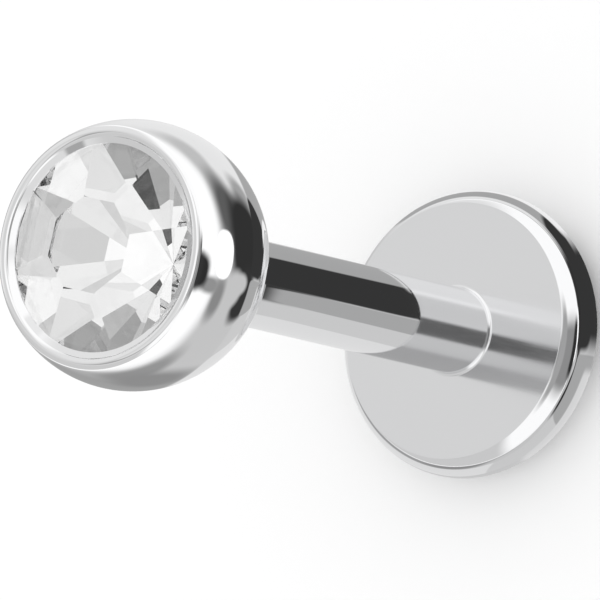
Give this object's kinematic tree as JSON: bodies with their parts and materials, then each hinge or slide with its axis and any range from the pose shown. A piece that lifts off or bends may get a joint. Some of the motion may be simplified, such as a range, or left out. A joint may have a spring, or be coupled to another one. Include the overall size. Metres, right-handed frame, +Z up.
{
  "type": "labret stud",
  "caption": "Straight piercing stud with a flat disc on one end of its post and a ball head with a bezel-set round cut crystal that pulls off the other end.",
  "frame": {"origin": "middle of the flat back of the disc, which the stud stands on", "axes": "+Z up the post to the crystal; X and Y are alike, because every piece is round"},
  "size_m": [0.004, 0.004, 0.0097],
  "materials": {
    "post_steel": "mirror-polished surgical steel, the flat front face of the disc satin",
    "head_steel": "mirror-polished surgical steel",
    "crystal": "clear faceted crystal glass with a silvered back"
  },
  "bodies": {
    "post": {"disc_post": "post_steel"},
    "head": {"bezel_head": "head_steel", "crystal": "crystal"}
  },
  "joints": [
    {"name": "head_lift", "type": "slide", "parent": "post", "child": "head", "axis": [0, 0, 1], "range_m": [0, 0.0085]}
  ]
}
